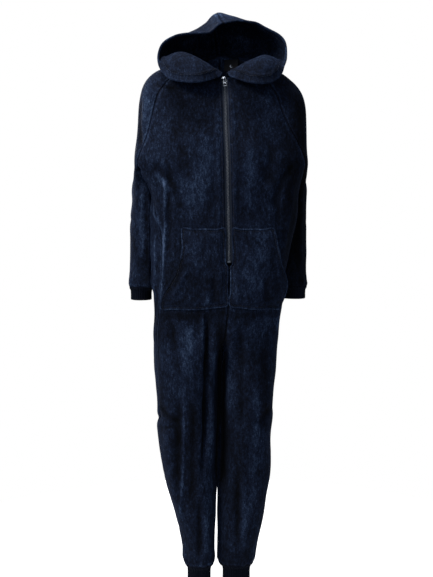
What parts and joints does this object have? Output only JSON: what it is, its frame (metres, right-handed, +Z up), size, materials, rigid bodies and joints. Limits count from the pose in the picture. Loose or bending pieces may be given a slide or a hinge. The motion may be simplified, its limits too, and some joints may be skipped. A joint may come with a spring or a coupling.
{
  "type": "onesie pajama",
  "caption": "Hooded plush fleece one-piece pajama, filled out as worn, with raglan sleeves, full front zip, split kangaroo pocket, rib cuffs and long legs.",
  "frame": {"origin": "inside the neck opening, level with the tops of the shoulders, where the wearer's shoulders hold the garment up", "axes": "+Z up along the garment, -Y towards its front, -X towards the wearer's right"},
  "size_m": [0.5266, 0.2893, 1.6685],
  "materials": {
    "plush": "navy flannel fleece, short brushed pile with a soft sheen",
    "rib": "navy rib knit, matte",
    "tape": "navy woven zip tape, matte",
    "metal": "nickel-coloured zip metal, satin",
    "label": "dark woven label, plain"
  },
  "bodies": {
    "garment": {"front_right": "plush", "front_left": "plush", "back_right": "plush", "back_left": "plush", "sleeve_right": "plush", "sleeve_left": "plush", "hood_right": "plush", "hood_left": "plush", "pocket_right": "plush", "pocket_left": "plush", "wrist_cuff_right": "rib", "wrist_cuff_left": "rib", "ankle_cuff_right": "rib", "ankle_cuff_left": "rib", "zip_tape_right": "tape", "zip_tape_left": "tape", "zip_chain": "metal", "zip_stop": "metal", "zip_slider": "metal", "neck_label": "label"},
    "pull_tab": {"zip_pull_tab": "metal"}
  },
  "joints": [
    {"name": "pull_swing", "type": "hinge", "parent": "garment", "child": "pull_tab", "pos_m": [0, -0.08543, -0.02245], "axis": [-1, 0, 0], "range_deg": [0, 110]}
  ]
}
